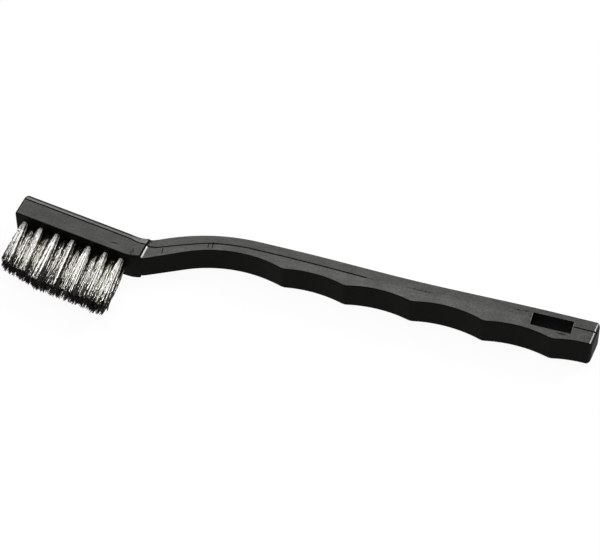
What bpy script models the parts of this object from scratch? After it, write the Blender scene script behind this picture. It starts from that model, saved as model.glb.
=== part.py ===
"""A small scratch brush for cleaning gasket faces: one moulded plastic handle with finger scallops,
a hang hole and a head, and staggered rows of stainless wire tufts, each doubled over a flat anchor.

The brush lies on its side. +X runs along the handle to its free end, the bristles point to -Y and
+Z is up. The origin is the middle of the bottom of the bounding box. Sizes are in metres.
"""

import math

import bmesh
import bpy
from mathutils import Vector

MM = 0.001

# Tuft pattern: rows run along the head, and the middle row stands half a pitch over, with one less.
TUFTS_IN_OUTER_ROW = 7
TUFT_PITCH = 5.6 * MM
ROW_PITCH = 1.6 * MM
HOLE_DIAMETER = 1.9 * MM
HOLE_DEPTH = 5.3 * MM
HOLE_SIDES = 12

# Bristles: doubled wires, all trimmed to one length, and worn shorter towards the toe.
BRISTLE_LENGTH = 18.3 * MM
TOE_BRISTLE_LENGTH = 16.2 * MM
WORN_RUN = 10.6 * MM
TRIM_SCATTER = 0.5 * MM
TIP_SPREAD_DIAMETER = 3.0 * MM
STRANDS_PER_TUFT = 21
STRAND_RADIUS = 0.115 * MM
STRAND_SIDES = 3
ROOT_CLEARANCE = 0.1 * MM
ROOT_STANDS_PROUD = 0.25 * MM

# Anchor: a flat piece of wire, across which the tuft is folded, that bites into the hole's wall.
ANCHOR_THICKNESS = 0.4 * MM
ANCHOR_HEIGHT = 1.4 * MM
ANCHOR_BITE = 0.4 * MM
ANCHOR_CLEARANCE = 0.1 * MM
FOLD_UNDER_ANCHOR = 0.5 * MM

# Head: a plain block, tilted so that its toe rises towards the handle's back.
TOE_MARGIN = 3.4 * MM
HEEL_MARGIN = 5.9 * MM
HEAD_WIDTH = 10.8 * MM
HEAD_DEPTH = 8.4 * MM
HEAD_DROP = 9.683 * MM
HEAD_TILT = math.radians(8.8)
HEAD_STRIP = 2.16 * MM
HEAD_STRIP_BEVEL = math.radians(10)
HEAD_CROWN = 0.55 * MM
HEAD_BACK_EDGE_RADIUS = 2.2 * MM
TOE_CORNER_RADIUS = 1.2 * MM
TOE_EDGE_RADIUS = 0.8 * MM
STEP_LENGTH = 0.56 * MM

# Neck: it climbs from the heel of the head to the top of the back, and is thinnest just before it.
STEP_TO_THINNEST = 30.6 * MM
THINNEST_TO_TOP = 2.6 * MM
NECK_WIDTH = 8.9 * MM
NECK_THICKNESS = 6.3 * MM
NECK_CLIMB = math.radians(28)
NECK_FACE_RADIUS = 39 * MM
NECK_BACK_RADIUS = 60 * MM
HEEL_BLEND = 2 * MM
NAPE_BLEND = 2.6 * MM

# Grip: finger scallops between crests, each crest so far below the top of the back.
THINNEST_TO_FIRST_CREST = 13.0 * MM
FINGER_WIDTHS = (20.0 * MM, 21.2 * MM, 23.0 * MM, 21.3 * MM)
CREST_DROPS = (8.35 * MM, 9.25 * MM, 9.35 * MM, 10.25 * MM, 10.8 * MM)
TAIL_SCALLOP = 20 * MM
FINGER_RADIUS = 38 * MM
CREST_BLEND = 0.6 * MM
TAIL_LENGTH = 12.2 * MM
GRIP_WIDTH = 10.5 * MM
WIDENING_RUN = 97 * MM
BACK_FALL = 0.75 * MM
BACK_HOLLOW = 0.75 * MM
TOP_TO_HOLLOW = 10 * MM
PARTING_DEPTH = 3.6 * MM
PARTING_DEPTH_AT_END = 4.1 * MM
DRAFT = math.radians(2.5)
EDGE_RADIUS = 0.35 * MM
HEEL_EDGE_RADIUS = 0.8 * MM
END_RADIUS = 1.3 * MM
EDGE_SHARE_OF_WALL = 0.9
LEAN = math.radians(5.6)

# Hang hole: a rectangle right through the tail of the grip.
HANG_HOLE_LENGTH = 12.7 * MM
HANG_HOLE_WIDTH = 4.85 * MM
HANG_HOLE_TO_END = 7.1 * MM
HANG_HOLE_BELOW_TOP = 2.7 * MM

# Places along the handle, counted from the toe, and the stations of its sections.
STEP_X = TOE_MARGIN + (TUFTS_IN_OUTER_ROW - 1) * TUFT_PITCH + HEEL_MARGIN
THINNEST_X = STEP_X + STEP_TO_THINNEST
TOP_X = THINNEST_X + THINNEST_TO_TOP
FIRST_CREST_X = THINNEST_X + THINNEST_TO_FIRST_CREST
CREST_XS = [FIRST_CREST_X + sum(FINGER_WIDTHS[:i]) for i in range(len(CREST_DROPS))]
END_X = CREST_XS[-1] + TAIL_LENGTH
STRAIGHT_HEAD = 6.5 * MM
JUST_BEFORE = 0.01 * MM
NECK_STATION = 1.6 * MM
GRIP_STATION = 2.1 * MM
CORNER_STEPS = 3

MIDDLE_ROW = 1
ROW_NAMES = ("upper", "middle", "lower")
GOLDEN_ANGLE = math.pi * (3 - math.sqrt(5))
CUT_BEYOND = 3 * MM


def smooth_min(a, b, blend):
    """The smaller of two heights, with the corner where they cross rounded off."""
    overlap = max(blend - abs(a - b), 0) / blend
    return min(a, b) - overlap * overlap * blend / 4


def smooth_max(a, b, blend):
    return -smooth_min(-a, -b, blend)


def smooth_step(start, end, x):
    share = min(max((x - start) / (end - start), 0), 1)
    return share * share * (3 - 2 * share)


def head_back(x):
    return -HEAD_DROP + math.tan(HEAD_TILT) * (STEP_X - x)


def head_face(x):
    """The plane that the bristles stand in."""
    return head_back(x) - HEAD_DEPTH / math.cos(HEAD_TILT)


def crowned(x):
    """1 along the head, falling to 0 at its heel: the share of its crown and of its soft back edges."""
    return 1 - smooth_step(STEP_X - STRAIGHT_HEAD, STEP_X, x)


def back_height(x):
    """Y of the back: the head's crowned back, the arc of the neck, then the slightly hollow grip."""
    if x < TOP_X:
        across = min(TOP_X - x, NECK_BACK_RADIUS)
        neck = math.sqrt(NECK_BACK_RADIUS**2 - across**2) - NECK_BACK_RADIUS
        return smooth_max(head_back(x), neck, NAPE_BLEND) + HEAD_CROWN * crowned(x)
    fall = BACK_FALL * (x - TOP_X) / (END_X - TOP_X)
    hollow_start = TOP_X + TOP_TO_HOLLOW
    share = min(max((x - hollow_start) / (CREST_XS[-1] - hollow_start), 0), 1)
    return -fall - BACK_HOLLOW * math.sin(math.pi * share) ** 2


def neck_drop(x):
    """How far the neck's bristle side is below the top of the back: a straight climb, then an arc."""
    across = abs(x - THINNEST_X)
    arc_run = NECK_FACE_RADIUS * math.sin(NECK_CLIMB)
    if x < THINNEST_X - arc_run:
        arc_drop = NECK_FACE_RADIUS * (1 - math.cos(NECK_CLIMB))
        return NECK_THICKNESS + arc_drop + math.tan(NECK_CLIMB) * (across - arc_run)
    across = min(across, NECK_FACE_RADIUS)
    return NECK_THICKNESS + NECK_FACE_RADIUS - math.sqrt(NECK_FACE_RADIUS**2 - across**2)


def scallop_arc(start, end):
    """A function of X for the drop along an arc through two crests, hollow side outwards."""
    (x0, drop0), (x1, drop1) = start, end
    chord = math.hypot(x1 - x0, drop1 - drop0)
    rise = math.sqrt(FINGER_RADIUS**2 - chord**2 / 4) / chord
    centre_x = (x0 + x1) / 2 - rise * (drop1 - drop0)
    centre_drop = (drop0 + drop1) / 2 + rise * (x1 - x0)

    def drop(x):
        across = min(abs(x - centre_x), FINGER_RADIUS)
        return centre_drop - math.sqrt(FINGER_RADIUS**2 - across**2)

    return drop


def scallop_arcs():
    """The finger scallops, and the part of one that makes the tail."""
    crests = list(zip(CREST_XS, (drop + CREST_BLEND / 4 for drop in CREST_DROPS)))
    beyond = (CREST_XS[-1] + TAIL_SCALLOP, crests[-1][1])
    ends = crests + [beyond]
    return [scallop_arc(start, end) for start, end in zip(ends, ends[1:])]


SCALLOP_ARCS = scallop_arcs()


def face_height(x):
    """Y of the bristle side: the head's face, the climb of the neck, then the scalloped grip."""
    drop = neck_drop(x)
    for arc in SCALLOP_ARCS:
        drop = smooth_min(drop, arc(x), CREST_BLEND)
    return smooth_max(head_face(x), -drop, HEEL_BLEND)


def half_width(x):
    """Half the width at the parting line."""
    if x < STEP_X:
        return HEAD_WIDTH / 2
    share = min((x - STEP_X) / WIDENING_RUN, 1)
    return (NECK_WIDTH + (GRIP_WIDTH - NECK_WIDTH) * share) / 2


def parting_depth(x):
    """How far the mould's parting line lies under the back: high on the head, mid way on the grip."""
    along = max(x - THINNEST_X, 0) / (END_X - THINNEST_X)
    grip = PARTING_DEPTH + (PARTING_DEPTH_AT_END - PARTING_DEPTH) * along
    share = smooth_step(STEP_X - STRAIGHT_HEAD, STEP_X + STRAIGHT_HEAD, x)
    return HEAD_STRIP + (grip - HEAD_STRIP) * share + HEAD_CROWN * crowned(x)


def face_edge_radius(x):
    """The radius of the two edges of the bristle side, which are softer at the heel of the head."""
    if x > STEP_X:
        return EDGE_RADIUS
    return EDGE_RADIUS + (HEEL_EDGE_RADIUS - EDGE_RADIUS) * smooth_step(STEP_X - STRAIGHT_HEAD, STEP_X, x)


def fallen_back(radius, distance):
    """How far a rounded corner of some radius has fallen back, so far from the end."""
    left = max(radius - distance, 0)
    return radius - math.sqrt(radius**2 - left**2)


def corner_stations(radius):
    """Distances from the end of the sections that round off a corner."""
    return [radius * (1 - math.cos(math.pi / 2 * step / CORNER_STEPS)) for step in range(CORNER_STEPS + 1)]


def stations():
    """X of each section, toe to end."""
    places = sorted({*corner_stations(TOE_EDGE_RADIUS), *corner_stations(TOE_CORNER_RADIUS)})
    neck_start = STEP_X - STRAIGHT_HEAD
    steps = round(STRAIGHT_HEAD / NECK_STATION)
    places += [neck_start + STRAIGHT_HEAD * i / steps for i in range(steps)]
    places.append(STEP_X - JUST_BEFORE)
    span = THINNEST_X - STEP_X - STEP_LENGTH
    steps = round(span / NECK_STATION)
    places += [STEP_X + STEP_LENGTH + span * i / steps for i in range(steps)]
    span = END_X - END_RADIUS - THINNEST_X
    steps = round(span / GRIP_STATION)
    places += [THINNEST_X + span * i / steps for i in range(steps)]
    places += [END_X - away for away in reversed(corner_stations(END_RADIUS))]
    return places


def edge_arc(depth, radius, tilt, widest):
    """Points on the rounded edge between a side and the end of its depth, as (distance from the parting line, z).

    The side leans inwards by its tilt, from the widest place at the parting line, and the arc starts at the side.
    """
    radius = min(radius, EDGE_SHARE_OF_WALL * depth)
    straight = depth - radius
    centre = widest - (radius + straight * math.sin(tilt)) / math.cos(tilt)
    angles = [(math.pi / 2 - tilt) * (1 - step / CORNER_STEPS) for step in range(CORNER_STEPS + 1)]
    return [(straight + radius * math.cos(angle), centre + radius * math.sin(angle)) for angle in angles]


def section(x):
    """The ring of points where a leaning plane cuts the handle, at x on its bristle side."""
    lean = math.tan(LEAN)
    face = face_height(x)
    back_x = x + lean * (back_height(x) - face)
    back = back_height(min(back_x, END_X))
    parting = back - parting_depth(x)
    end_inset = fallen_back(END_RADIUS, END_X - x)
    widest = half_width(x) - fallen_back(TOE_EDGE_RADIUS, x) - end_inset
    on_head = x < STEP_X
    back_depth = back - parting - fallen_back(TOE_CORNER_RADIUS, x) - end_inset
    face_depth = parting - face - fallen_back(EDGE_RADIUS, x) - end_inset
    back_radius = EDGE_RADIUS + (HEAD_BACK_EDGE_RADIUS - EDGE_RADIUS) * crowned(x)
    back_arc = edge_arc(back_depth, back_radius, HEAD_STRIP_BEVEL if on_head else DRAFT, widest)
    face_arc = edge_arc(face_depth, face_edge_radius(x), 0 if on_head else DRAFT, widest)
    half = [(parting + away, z) for away, z in reversed(back_arc)]
    half.append((parting, widest))
    half += [(parting - away, z) for away, z in face_arc]
    ring = half + [(y, -z) for y, z in reversed(half)]
    return [Vector((x + lean * (y - face), y, z)) for y, z in ring]


def plain_material(name, colour, roughness, metallic):
    material = bpy.data.materials.new(name)
    material.use_nodes = True
    shader = material.node_tree.nodes["Principled BSDF"]
    shader.inputs["Base Color"].default_value = (*colour, 1)
    shader.inputs["Roughness"].default_value = roughness
    shader.inputs["Metallic"].default_value = metallic
    return material


def add_object(name, mesh, parent, material=None):
    obj = bpy.data.objects.new(name, mesh)
    bpy.context.scene.collection.objects.link(obj)
    obj.parent = parent
    if material:
        mesh.materials.append(material)
    return obj


def mesh_from(bm, name):
    bmesh.ops.recalc_face_normals(bm, faces=bm.faces)
    mesh = bpy.data.meshes.new(name)
    bm.to_mesh(mesh)
    bm.free()
    return mesh


def add_box(bm, low, high):
    """A box between two corners."""
    low, high = Vector(low), Vector(high)
    made = bmesh.ops.create_cube(bm, size=1)
    bmesh.ops.scale(bm, vec=high - low, verts=made["verts"])
    bmesh.ops.translate(bm, vec=(high + low) / 2, verts=made["verts"])


def add_cutter(name, bm, parent):
    cutter = add_object(name, mesh_from(bm, name), parent)
    cutter.hide_render = True
    cutter.display_type = "WIRE"
    return cutter


def add_boolean(obj, cutter, use_self=False):
    boolean = obj.modifiers.new(cutter.name, "BOOLEAN")
    boolean.operation = "DIFFERENCE"
    boolean.solver = "EXACT"
    boolean.use_self = use_self
    boolean.object = cutter


def tuft_places():
    """(row name, number, x, z) of each tuft, with z counted from the middle of the head's width."""
    places = []
    for row, name in enumerate(ROW_NAMES):
        staggered = row == MIDDLE_ROW
        z = (MIDDLE_ROW - row) * ROW_PITCH
        first_x = TOE_MARGIN + (TUFT_PITCH / 2 if staggered else 0)
        for number in range(TUFTS_IN_OUTER_ROW - staggered):
            places.append((name, number + 1, first_x + number * TUFT_PITCH, z))
    return places


def hole_bottom(x):
    return head_face(x) + HOLE_DEPTH


def anchor_foot(x):
    """Y of an anchor's deeper edge, which the fold of the tuft goes round."""
    return hole_bottom(x) - ROOT_CLEARANCE - FOLD_UNDER_ANCHOR


def holes_bmesh():
    bm = bmesh.new()
    for _, _, x, z in tuft_places():
        low = head_face(x) - CUT_BEYOND
        high = hole_bottom(x)
        add_prism(bm, x, z, low, high, HOLE_DIAMETER / 2, HOLE_SIDES)
    return bm


def add_prism(bm, x, z, low, high, radius, sides):
    """A round prism along Y, from low to high."""
    rings = []
    for y in (low, high):
        angles = [2 * math.pi * (i + 0.5) / sides for i in range(sides)]
        rings.append([bm.verts.new((x + radius * math.cos(a), y, z + radius * math.sin(a))) for a in angles])
    for i in range(sides):
        j = (i + 1) % sides
        bm.faces.new((rings[0][i], rings[0][j], rings[1][j], rings[1][i]))
    bm.faces.new(rings[0])
    bm.faces.new(reversed(rings[1]))


def anchor_box(bm, x, z, clearance):
    half_length = HOLE_DIAMETER / 2 + ANCHOR_BITE + clearance
    half_thickness = ANCHOR_THICKNESS / 2 + clearance
    foot = anchor_foot(x)
    low = (x - half_length, foot - ANCHOR_HEIGHT - clearance, z - half_thickness)
    high = (x + half_length, foot + clearance, z + half_thickness)
    add_box(bm, low, high)


def anchor_slots_bmesh():
    bm = bmesh.new()
    for _, _, x, z in tuft_places():
        anchor_box(bm, x, z, ANCHOR_CLEARANCE)
    return bm


def hang_hole_bmesh():
    bm = bmesh.new()
    end = END_X - HANG_HOLE_TO_END
    top = -HANG_HOLE_BELOW_TOP
    beyond = GRIP_WIDTH / 2 + CUT_BEYOND
    low = (end - HANG_HOLE_LENGTH, top - HANG_HOLE_WIDTH, -beyond)
    add_box(bm, low, (end, top, beyond))
    return bm


def handle_bmesh():
    bm = bmesh.new()
    rings = [[bm.verts.new(point) for point in section(x)] for x in stations()]
    for ring, following in zip(rings, rings[1:]):
        for i in range(len(ring)):
            j = (i + 1) % len(ring)
            bm.faces.new((ring[i], ring[j], following[j], following[i]))
    bm.faces.new(rings[0])
    bm.faces.new(rings[-1])
    return bm


def strand_scatter(index, salt):
    """A fixed number from -1 to 1 that looks random, for the uneven trim of the wires."""
    return math.sin(12.9898 * index + 78.233 * salt)


def bristle_length(x):
    unworn = min((x - TOE_MARGIN) / WORN_RUN, 1)
    return TOE_BRISTLE_LENGTH + (BRISTLE_LENGTH - TOE_BRISTLE_LENGTH) * unworn


def tuft_bmesh(x, salt):
    """A tuft about its hole's mouth, with its bristles along -Y: the root in the hole, and the wires."""
    bm = bmesh.new()
    root_radius = HOLE_DIAMETER / 2 - ROOT_CLEARANCE
    root_face = -ROOT_STANDS_PROUD
    add_prism(bm, 0, 0, root_face, HOLE_DEPTH - ROOT_CLEARANCE, root_radius, HOLE_SIDES)
    packed_radius = root_radius * math.cos(math.pi / HOLE_SIDES) - 1.15 * STRAND_RADIUS
    spread_radius = TIP_SPREAD_DIAMETER / 2 - STRAND_RADIUS
    for index in range(STRANDS_PER_TUFT):
        share = math.sqrt((index + 0.5) / STRANDS_PER_TUFT)
        angle = index * GOLDEN_ANGLE + salt
        length = bristle_length(x) + TRIM_SCATTER * strand_scatter(index, salt)
        outward = Vector((math.cos(angle), 0, math.sin(angle))) * share
        root = outward * packed_radius + Vector((0, root_face + ROOT_STANDS_PROUD, 0))
        tip = outward * spread_radius - Vector((0, length, 0))
        add_strand(bm, root, tip, angle)
    return bm


def add_strand(bm, root, tip, turn):
    """A thin straight prism between two points, square to Y at both ends."""
    rings = []
    for centre in (root, tip):
        ring = []
        for side in range(STRAND_SIDES):
            angle = turn + 2 * math.pi * side / STRAND_SIDES
            offset = Vector((math.cos(angle), 0, math.sin(angle))) * STRAND_RADIUS
            ring.append(bm.verts.new(centre + offset))
        rings.append(ring)
    for i in range(STRAND_SIDES):
        j = (i + 1) % STRAND_SIDES
        bm.faces.new((rings[0][i], rings[0][j], rings[1][j], rings[1][i]))
    bm.faces.new(rings[0])
    bm.faces.new(reversed(rings[1]))


def build_handle(parent, anchor_slots):
    mesh = mesh_from(handle_bmesh(), "handle")
    mesh.shade_smooth()
    mesh.set_sharp_from_angle(angle=math.radians(35))
    plastic = plain_material("black_plastic", (0.012, 0.012, 0.011), 0.38, 0)
    handle = add_object("handle", mesh, parent, plastic)
    add_boolean(handle, add_cutter("hang_hole", hang_hole_bmesh(), parent))
    add_boolean(handle, add_cutter("tuft_holes", holes_bmesh(), parent))
    add_boolean(handle, anchor_slots)


def build_tufts(parent, anchor_slots):
    wire = plain_material("stainless_wire", (0.62, 0.61, 0.58), 0.3, 1)
    for salt, (row, number, x, z) in enumerate(tuft_places()):
        name = f"tuft_{row}_{number}"
        tuft = add_object(name, mesh_from(tuft_bmesh(x, salt), name), parent, wire)
        tuft.location = (x, head_face(x), z)
        add_boolean(tuft, anchor_slots, use_self=True)


def build_anchors(parent):
    steel = plain_material("anchor_steel", (0.5, 0.49, 0.47), 0.4, 1)
    for row, number, x, z in tuft_places():
        bm = bmesh.new()
        anchor_box(bm, 0, 0, 0)
        bmesh.ops.translate(bm, vec=(0, -anchor_foot(0), 0), verts=bm.verts)
        name = f"anchor_{row}_{number}"
        anchor = add_object(name, mesh_from(bm, name), parent, steel)
        anchor.location = (x, anchor_foot(x), z)


def centre_on_box(root):
    """Moves the brush so that the origin is the middle of its bounding box's bottom."""
    bpy.context.view_layer.update()
    corners = []
    for obj in root.children:
        if not obj.hide_render:
            corners += [obj.matrix_world @ vertex.co for vertex in obj.data.vertices]
    low = Vector(min(corner[axis] for corner in corners) for axis in range(3))
    high = Vector(max(corner[axis] for corner in corners) for axis in range(3))
    root.location = (-(low.x + high.x) / 2, -(low.y + high.y) / 2, -low.z)
    bpy.context.view_layer.update()


def main():
    for obj in list(bpy.data.objects):
        bpy.data.objects.remove(obj)
    root = bpy.data.objects.new("brush", None)
    bpy.context.scene.collection.objects.link(root)
    anchor_slots = add_cutter("anchor_slots", anchor_slots_bmesh(), root)
    build_handle(root, anchor_slots)
    build_tufts(root, anchor_slots)
    build_anchors(root)
    centre_on_box(root)


main()
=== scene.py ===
"""A small scratch brush for gasket faces, dressed for its picture: the moulded handle at full fineness, the
crimped wires of its tufts, and a plain studio. It is laid out as a Blender add-on and runs as a script.

Sizes are in metres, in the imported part's frame: +X runs along the handle to its free end, the bristles point
to -Y and +Z is up across the width.
"""

import math

import bmesh
import bpy
from bpy.props import FloatProperty, FloatVectorProperty, IntProperty, PointerProperty
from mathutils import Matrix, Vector


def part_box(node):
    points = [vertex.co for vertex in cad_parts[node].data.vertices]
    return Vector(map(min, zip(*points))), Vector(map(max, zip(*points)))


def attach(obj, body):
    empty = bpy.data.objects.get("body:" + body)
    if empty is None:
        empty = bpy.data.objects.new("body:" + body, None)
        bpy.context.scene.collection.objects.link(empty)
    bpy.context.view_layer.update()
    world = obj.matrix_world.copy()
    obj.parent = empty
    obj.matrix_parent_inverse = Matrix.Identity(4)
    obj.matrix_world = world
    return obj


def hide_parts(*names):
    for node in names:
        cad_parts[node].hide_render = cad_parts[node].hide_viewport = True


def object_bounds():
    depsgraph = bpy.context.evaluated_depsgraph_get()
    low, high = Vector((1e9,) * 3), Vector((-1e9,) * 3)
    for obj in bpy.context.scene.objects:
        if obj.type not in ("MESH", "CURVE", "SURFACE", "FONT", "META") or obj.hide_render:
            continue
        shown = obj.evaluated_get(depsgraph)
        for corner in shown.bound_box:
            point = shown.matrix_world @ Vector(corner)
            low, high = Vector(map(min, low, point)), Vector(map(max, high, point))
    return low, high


bl_info = {
    "name": "Gasket brush",
    "version": (1, 0, 0),
    "blender": (4, 5, 0),
    "location": "3D View > Sidebar > Brush",
    "description": "Dresses a packed scratch brush: fine handle, crimped wire tufts and a plain studio",
    "category": "Object",
}

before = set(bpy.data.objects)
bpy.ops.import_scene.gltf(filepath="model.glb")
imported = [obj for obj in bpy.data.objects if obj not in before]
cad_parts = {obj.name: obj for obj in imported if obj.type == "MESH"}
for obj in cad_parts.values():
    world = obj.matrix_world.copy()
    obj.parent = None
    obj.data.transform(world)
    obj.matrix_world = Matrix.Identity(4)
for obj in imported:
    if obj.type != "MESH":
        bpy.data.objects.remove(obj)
CAD_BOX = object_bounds()

MM = 0.001
BODY = "root"

# The handle's own frame has its toe at x = 0, the top of its back at y = 0 and its middle plane at z = 0.
TUFT_PITCH = 5.6 * MM
TUFTS_IN_OUTER_ROW = 7
HOLE_DIAMETER = 1.9 * MM
HOLE_DEPTH = 5.3 * MM
TOE_MARGIN = 3.4 * MM
HEEL_MARGIN = 5.9 * MM
HEAD_WIDTH = 10.8 * MM
HEAD_DEPTH = 8.4 * MM
HEAD_DROP = 9.683 * MM
HEAD_TILT = math.radians(8.8)
HEAD_STRIP = 2.16 * MM
HEAD_STRIP_BEVEL = math.radians(10)
HEAD_CROWN = 0.55 * MM
HEAD_BACK_EDGE_RADIUS = 2.2 * MM
TOE_CORNER_RADIUS = 1.2 * MM
TOE_EDGE_RADIUS = 0.8 * MM
STEP_LENGTH = 0.56 * MM
STEP_WALL_LEAD = 0.2 * MM
STEP_WALL_LENGTH = 0.34 * MM
STEP_WALL_SHARE = 0.78

STEP_TO_THINNEST = 30.6 * MM
THINNEST_TO_TOP = 2.6 * MM
NECK_WIDTH = 8.9 * MM
NECK_THICKNESS = 6.3 * MM
NECK_CLIMB = math.radians(28)
NECK_FACE_RADIUS = 39 * MM
NECK_BACK_RADIUS = 60 * MM
HEEL_BLEND = 2 * MM
NAPE_BLEND = 2.6 * MM

THINNEST_TO_FIRST_CREST = 13.0 * MM
FINGER_WIDTHS = (20.0 * MM, 21.2 * MM, 23.0 * MM, 21.3 * MM)
CREST_DROPS = (8.35 * MM, 9.25 * MM, 9.35 * MM, 10.25 * MM, 10.8 * MM)
TAIL_SCALLOP = 20 * MM
FINGER_RADIUS = 38 * MM
CREST_BLEND = 0.6 * MM
TAIL_LENGTH = 12.2 * MM
GRIP_WIDTH = 10.5 * MM
WIDENING_RUN = 97 * MM
BACK_FALL = 0.75 * MM
BACK_HOLLOW = 0.75 * MM
TOP_TO_HOLLOW = 10 * MM
PARTING_DEPTH = 3.6 * MM
PARTING_DEPTH_AT_END = 4.1 * MM
DRAFT = math.radians(2.5)
HEEL_EDGE_RADIUS = 0.8 * MM
EDGE_SHARE_OF_WALL = 0.8
LEAN = math.radians(5.6)

HANG_HOLE_LENGTH = 12.7 * MM
HANG_HOLE_WIDTH = 4.85 * MM
HANG_HOLE_TO_END = 7.1 * MM
HANG_HOLE_BELOW_TOP = 2.7 * MM

STEP_X = TOE_MARGIN + (TUFTS_IN_OUTER_ROW - 1) * TUFT_PITCH + HEEL_MARGIN
THINNEST_X = STEP_X + STEP_TO_THINNEST
TOP_X = THINNEST_X + THINNEST_TO_TOP
FIRST_CREST_X = THINNEST_X + THINNEST_TO_FIRST_CREST
CREST_XS = [FIRST_CREST_X + sum(FINGER_WIDTHS[:i]) for i in range(len(CREST_DROPS))]
END_X = CREST_XS[-1] + TAIL_LENGTH

# The run before the step in which the head's crown and soft edges give out.
STRAIGHT_HEAD = 6.5 * MM

# How much lower the parting line runs just behind the head, and where it goes down and comes back.
PARTING_SAG = 0.6 * MM
SAG_STARTS = (STEP_X, STEP_X + 4 * MM)
SAG_ENDS = (STEP_X + 11 * MM, STEP_X + 19 * MM)

# The parting line's groove gets deeper on the neck and shallow on the grip, is worn away under the fingers
# and shows again at the tail: by how much of its depth on the head, and from where to where.
GROOVE_CHANGES = (
    (0.6, STEP_X, STEP_X + STRAIGHT_HEAD),
    (-0.95, STEP_X + 2 * STRAIGHT_HEAD, THINNEST_X),
    (-0.55, 104 * MM, 118 * MM),
    (0.8, 160 * MM, 173 * MM),
)

# Fineness of the handle's sections and holes, and how its shading is smoothed.
HEAD_STATION = 0.9 * MM
STEP_STATION = 0.04 * MM
STEP_DETAIL = 0.8 * MM
NECK_STATION = 0.5 * MM
GRIP_STATION = 0.4 * MM
CORNER_STEPS = 7
TUFT_HOLE_SIDES = 32
SHARP_ANGLE = math.radians(25)
LARGE_FACE_WEIGHT = 90

# Hairlines left by the mould's inserts on the sides of the neck: (x, y) of both ends, in the handle's frame.
INSERT_MARKS = (
    ((48.65 * MM, -11.2 * MM), (48.85 * MM, -13.3 * MM)),
    ((61.65 * MM, -5.4 * MM), (61.85 * MM, -7.2 * MM)),
    ((63.05 * MM, -4.5 * MM), (63.05 * MM, -7.0 * MM)),
)
INSERT_MARK_WIDTH = 0.3 * MM
INSERT_MARK_DEPTH = 0.16 * MM
INSERT_CUTTER_RISE = 5 * INSERT_MARK_DEPTH

# How far the cutters of the holes reach past the handle's surface.
CUT_BEYOND = 3 * MM

# How far behind the head the back's bevel still gets the painted sheen.
NECK_EDGES_END = 60 * MM

# Where the plastic gets a painted sheen or painted highlight, by the parts of its normal: in each pair it has
# none at the first, and all at the second. The flat sides with the painted sheen face across, and the edges
# with the painted highlight face across and to the free end.
SIDE_ACROSS = (0.966, 0.981)
SIDE_OFF_BACK = (0.14, 0.08)
HIGHLIGHT_ACROSS = (0.5, 0.65)
HIGHLIGHT_TO_END = (0.26, 0.36)
HIGHLIGHT_OFF_END = (0.68, 0.55)
HIGHLIGHT_OFF_BACK = (0.03, -0.02)
HIGHLIGHT_LEVEL = (0.4, 0.25)
HIGHLIGHT_STRENGTH = 2.2

# How strong the painted highlight on the hang hole's chamfer is, and between which upward parts of a normal
# its faces are found.
RIM_HIGHLIGHT = 1.4
CHAMFER_SLOPES = (0.6, 0.8)

# Dark stains on the sides, in the handle's frame: (x, y) of their middles, then half their length and height.
STAINS = (
    ((40.1 * MM, -15.9 * MM), (0.5 * MM, 1.4 * MM)),
    ((34.0 * MM, -14.3 * MM), (1.5 * MM, 0.35 * MM)),
    ((43.9 * MM, -9.7 * MM), (0.8 * MM, 1.2 * MM)),
    ((129.4 * MM, -4.6 * MM), (4.0 * MM, 0.2 * MM)),
    ((161.1 * MM, -3.1 * MM), (2.2 * MM, 0.35 * MM)),
    ((174.3 * MM, -8.3 * MM), (1.4 * MM, 0.4 * MM)),
)

# From where to where a stain fades, its own size being 1, and how much it darkens the plastic.
STAIN_EDGE = (0.2, 1.0)
STAIN_DARKNESS = 0.75

# The size of the plastic's patterns, counted in that of its grain, and how much each varies its tone.
BLOTCH_GRAINS = 9
STREAK_GRAINS = 1.2
STREAK_STRETCH = (0.12, 1.0, 1.0)
GRAIN_TONE = 0.2
BLOTCH_TONE = 0.1
STREAK_TONE = 0.25

# How much darker the tail gets as painted shade, and over what length.
TAIL_SHADE = 0.16
SHADED_TAIL = 45 * MM

# Which streaks are scuffs, how much they show and how much lighter they are, and between which levels of the
# mask an edge turns to its painted highlight colour.
SCUFF_LEVELS = (0.58, 0.7)
SCUFF_SHARE = 0.5
SCUFF_LIGHTNESS = 2.2
HIGHLIGHT_LEVELS = (1.0, 1.9)

# The wires' specks, and the shares of their length between which painted shade and painted light change.
SPECK_SIZE = 0.35 * MM
SPECK_STRETCH = (1.0, 0.35, 1.0)
SHADED_ROOT = (0.08, 0.26)
SHADED_TIP = (0.62, 1.0)
BRIGHT_ROOT = (0.05, 0.35)

# How softly the outer wires without painted shade end, how much higher they end at the tips as a share of the
# tips' width, how warm the inner wires are, how softly a wire turns into painted shade, and the lightest that
# it gets.
UNSHADED_FADE = 0.7 * MM
UNSHADED_RISE = 0.22
WARM_SHARE = 0.9
SHADE_EDGE = 0.04
LIGHTEST = 1.5

# The anchors' specks, and the dull and clean colours that they mix.
ANCHOR_SPECK_SIZE = 0.3 * MM
ANCHOR_STEEL = ((0.42, 0.41, 0.4), (0.6, 0.59, 0.57))

# The camera looks at this place, counted from the upper far corner of the brush's box at its free end.
AIM = (-91.9 * MM, -11.61 * MM, 0)

# The width of the camera's sensor in millimetres, and the nearest and furthest that it sees.
SENSOR_WIDTH = 36
CLIPPING = (0.01, 20)

# The lights, by the names of their settings: azimuth and elevation in degrees, distance, length and height.
SOFTBOXES = {
    "key": (216, 75, 0.82, 0.5, 0.5),
    "rim": (194, 27, 0.9, 1.2, 0.25),
    "glint": (139, 38, 0.9, 0.1, 0.25),
}
FLOOR_RADIUS = 4
FLOOR_SEGMENTS = 64


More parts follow.
